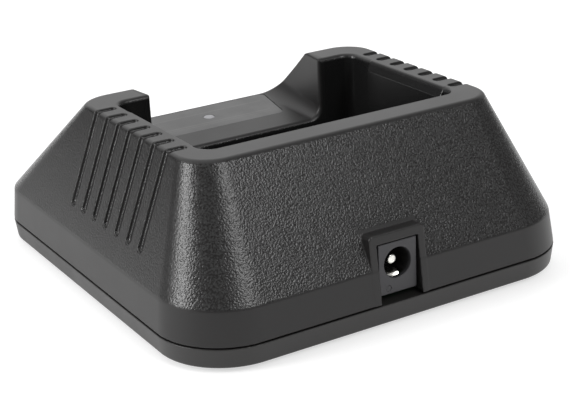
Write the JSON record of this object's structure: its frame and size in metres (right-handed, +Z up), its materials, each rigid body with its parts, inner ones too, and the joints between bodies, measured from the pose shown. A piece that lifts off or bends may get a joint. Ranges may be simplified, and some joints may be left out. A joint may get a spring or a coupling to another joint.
{
  "type": "radio charging cradle",
  "caption": "Desktop charging cradle for a hand-held two-way radio: tapered moulded case with a radio pocket, low front deck, grip grooves and a DC barrel socket.",
  "frame": {"origin": "middle of the footprint, at the level of the table under the rubber feet", "axes": "+Z up, +Y towards the rear wall with the DC socket, -Y towards the low front deck, +X to the right of a viewer who looks along +Y"},
  "size_m": [0.0928, 0.0992, 0.0368],
  "materials": {
    "case_plastic": "sandblast grain and satin",
    "label_film": "satin",
    "window_film": "clear",
    "rating_film": "satin",
    "screw_steel": "zinc plated",
    "foot_rubber": "matte",
    "board_laminate": "solder resist",
    "contact_metal": "nickel plated",
    "socket_plastic": "satin",
    "chip_black": "matte",
    "can_aluminium": "satin",
    "led_lens": "diffused",
    "fuse_green": "matte",
    "chip_tan": "satin"
  },
  "bodies": {
    "cradle": {"top_shell": "case_plastic", "base_shell": "case_plastic", "front_label": "label_film", "led_window": "window_film", "rating_label": "rating_film", "case_screws": "screw_steel", "foot_front_left": "foot_rubber", "foot_front_right": "foot_rubber", "foot_rear_left": "foot_rubber", "foot_rear_right": "foot_rubber", "main_board": "board_laminate", "board_screws": "screw_steel", "dc_jack_body": "socket_plastic", "dc_jack_centre_pin": "contact_metal", "dc_jack_leaf_terminal": "contact_metal", "dc_jack_switch_terminal": "contact_metal", "contact_block": "socket_plastic", "contact_tail_left": "contact_metal", "contact_tail_right": "contact_metal", "status_led": "led_lens", "status_led_leads": "contact_metal", "led_spacer": "chip_black", "charge_controller": "chip_black", "pass_transistor": "chip_black", "blocking_diode": "chip_black", "sense_resistor": "chip_black", "input_fuse": "fuse_green", "input_capacitor": "can_aluminium", "output_capacitor": "can_aluminium", "chip_resistors": "chip_black", "chip_capacitors": "chip_tan"},
    "left_contact": {"contact_left": "contact_metal"},
    "right_contact": {"contact_right": "contact_metal"},
    "socket_leaf": {"dc_jack_leaf": "contact_metal"}
  },
  "joints": [
    {"name": "left_contact_flex", "type": "hinge", "parent": "cradle", "child": "left_contact", "pos_m": [-0.008, 0.0318, 0.008], "axis": [-1, 0, 0], "range_deg": [0, 10], "stiffness_Nm_per_rad": 0.07},
    {"name": "right_contact_flex", "type": "hinge", "parent": "cradle", "child": "right_contact", "pos_m": [0.008, 0.0318, 0.008], "axis": [-1, 0, 0], "range_deg": [0, 10], "stiffness_Nm_per_rad": 0.07},
    {"name": "socket_leaf_flex", "type": "hinge", "parent": "cradle", "child": "socket_leaf", "pos_m": [0, 0.03663, 0.0089], "axis": [-1, 0, 0], "range_deg": [0, 6], "stiffness_Nm_per_rad": 0.05}
  ]
}
